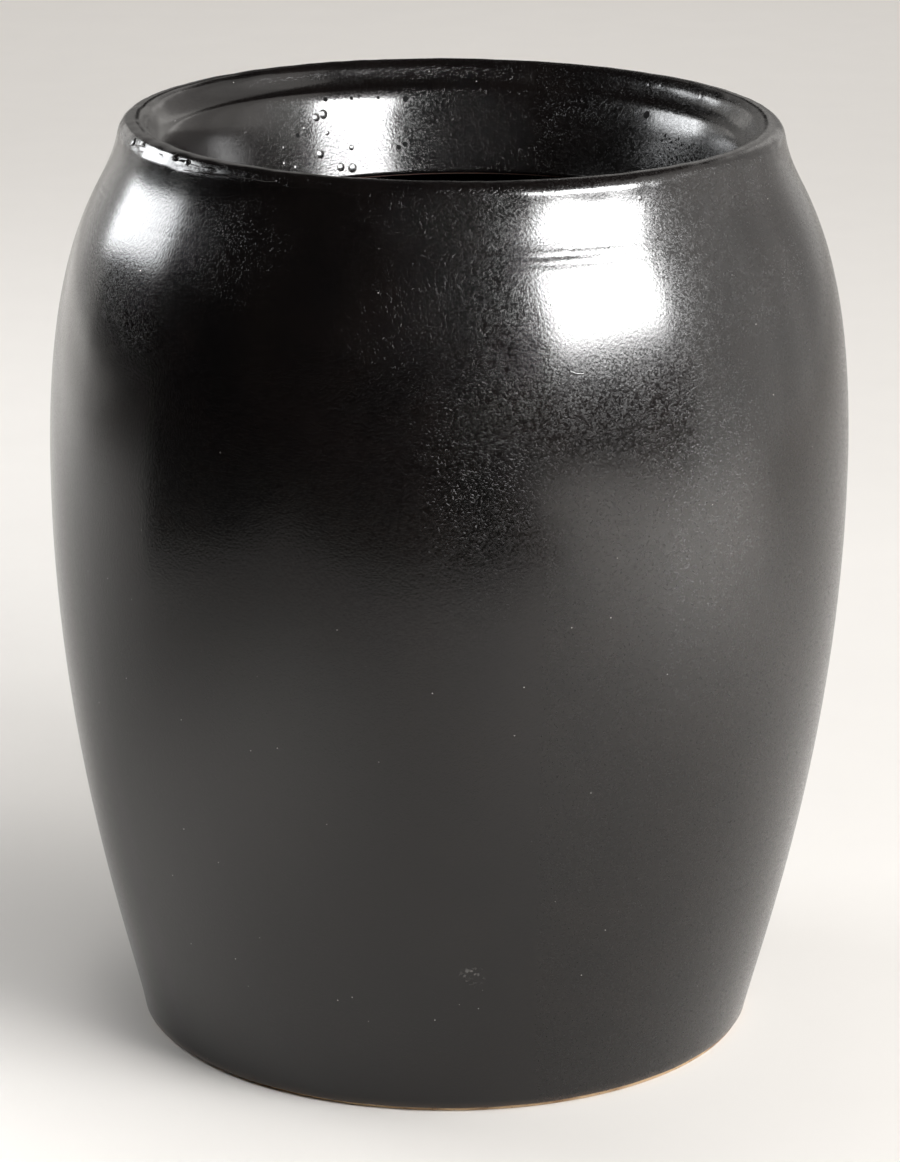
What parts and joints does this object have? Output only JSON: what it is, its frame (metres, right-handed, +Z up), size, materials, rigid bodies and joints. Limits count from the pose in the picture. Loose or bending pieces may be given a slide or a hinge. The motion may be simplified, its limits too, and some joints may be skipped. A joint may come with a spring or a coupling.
{
  "type": "kitchen canister",
  "caption": "Barrel-shaped stoneware canister with a rounded lip, a tapered collar in its mouth, black glaze outside and in, and a bare clay foot; free-standing, open at the top.",
  "frame": {"origin": "middle of the foot, on the surface that the canister stands on", "axes": "+Z up along the axis of the barrel; the part is round, so +X and +Y point any way"},
  "size_m": [0.1728, 0.1728, 0.2],
  "materials": {
    "bare_clay": "matt fired clay",
    "black_glaze": "satin gloss",
    "lining_glaze": "satin gloss"
  },
  "bodies": {
    "root": {"clay_body": "bare_clay", "outer_glaze": "black_glaze", "lining_glaze": "lining_glaze"}
  },
  "joints": []
}
